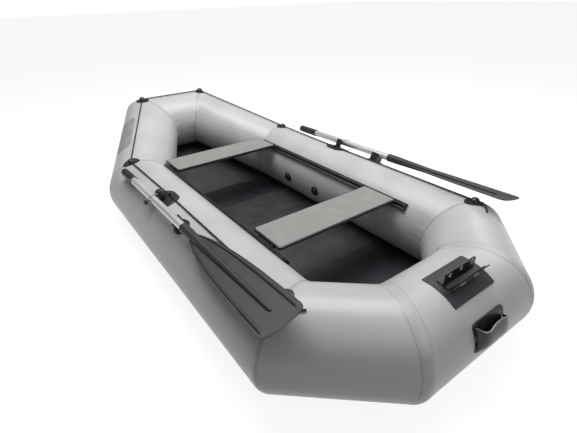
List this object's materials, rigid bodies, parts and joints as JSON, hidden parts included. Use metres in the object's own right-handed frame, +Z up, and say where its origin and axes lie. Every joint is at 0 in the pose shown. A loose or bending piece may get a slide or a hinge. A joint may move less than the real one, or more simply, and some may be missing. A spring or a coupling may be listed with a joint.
{
  "type": "inflatable rowing boat",
  "caption": "Rowing boat of air-filled tubes with a raised bow, slatted floor, two sliding benches on rails, swinging oars, grab line and a stern bracket.",
  "frame": {"origin": "on the floor under the middle of the overall length, midway between the side tubes", "axes": "+X aft towards the stern, +Y to starboard, +Z up"},
  "size_m": [2.8508, 1.4, 0.597],
  "materials": {
    "hull_fabric": "coated fabric, soft sheen",
    "bottom_fabric": "coated fabric",
    "trim_fabric": "coated fabric patch, matte",
    "floor_board": "dark film-faced board",
    "bench_board": "grey board, dark edges",
    "rail_black": "extruded black plastic",
    "line_black": "braided black rope",
    "shaft_aluminium": "anodised tube",
    "steel_wire": "steel wire",
    "black_plastic": "moulded black plastic"
  },
  "bodies": {
    "hull": {"bottom_sheet": "bottom_fabric", "bow_end_tube": "hull_fabric", "bow_handle": "black_plastic", "bow_sheet": "bottom_fabric", "bracket_patch": "trim_fabric", "bracket_rod": "steel_wire", "floor_board_1": "floor_board", "floor_board_2": "floor_board", "floor_board_3": "floor_board", "floor_board_4": "floor_board", "floor_board_5": "floor_board", "floor_board_6": "floor_board", "grab_line": "line_black", "mounting_bracket": "black_plastic", "port_air_valves": "black_plastic", "port_bench_rail": "rail_black", "port_bow_eyelet": "black_plastic", "port_bow_patch": "trim_fabric", "port_bow_quarter_tube": "hull_fabric", "port_forward_side_tube": "hull_fabric", "port_line_tail": "line_black", "port_oar_holder": "black_plastic", "port_rowlock_base": "black_plastic", "port_side_eyelet": "black_plastic", "port_stern_eyelet": "black_plastic", "port_stern_quarter_tube": "hull_fabric", "port_stern_side_tube": "hull_fabric", "starboard_air_valves": "black_plastic", "starboard_bench_rail": "rail_black", "starboard_bow_eyelet": "black_plastic", "starboard_bow_patch": "trim_fabric", "starboard_bow_quarter_tube": "hull_fabric", "starboard_forward_side_tube": "hull_fabric", "starboard_line_tail": "line_black", "starboard_oar_holder": "black_plastic", "starboard_rowlock_base": "black_plastic", "starboard_side_eyelet": "black_plastic", "starboard_stern_eyelet": "black_plastic", "starboard_stern_quarter_tube": "hull_fabric", "starboard_stern_side_tube": "hull_fabric", "stern_end_tube": "hull_fabric", "stern_handle": "black_plastic"},
    "front_bench": {"front_bench_board": "bench_board", "front_bench_runners": "black_plastic"},
    "rear_bench": {"rear_bench_board": "bench_board", "rear_bench_runners": "black_plastic"},
    "port_oar": {"port_rowlock_turret": "black_plastic", "port_rowlock_pin": "black_plastic", "port_rowlock_bail": "steel_wire", "port_oar_shaft": "shaft_aluminium", "port_oar_grip": "black_plastic", "port_oar_blade": "black_plastic"},
    "starboard_oar": {"starboard_rowlock_turret": "black_plastic", "starboard_rowlock_pin": "black_plastic", "starboard_rowlock_bail": "steel_wire", "starboard_oar_shaft": "shaft_aluminium", "starboard_oar_grip": "black_plastic", "starboard_oar_blade": "black_plastic"}
  },
  "joints": [
    {"name": "port_oar_swing", "type": "hinge", "parent": "hull", "child": "port_oar", "pos_m": [0.02, -0.56871, 0.3707], "axis": [0, 0.4067, -0.9135], "range_deg": [0, 145]},
    {"name": "starboard_oar_swing", "type": "hinge", "parent": "hull", "child": "starboard_oar", "pos_m": [0.02, 0.56871, 0.3707], "axis": [0, 0.4067, 0.9135], "range_deg": [0, 145]},
    {"name": "front_bench_slide", "type": "slide", "parent": "hull", "child": "front_bench", "axis": [1, 0, 0], "range_m": [0, 0.41]},
    {"name": "rear_bench_slide", "type": "slide", "parent": "hull", "child": "rear_bench", "axis": [1, 0, 0], "range_m": [-0.41, 0.055]}
  ]
}
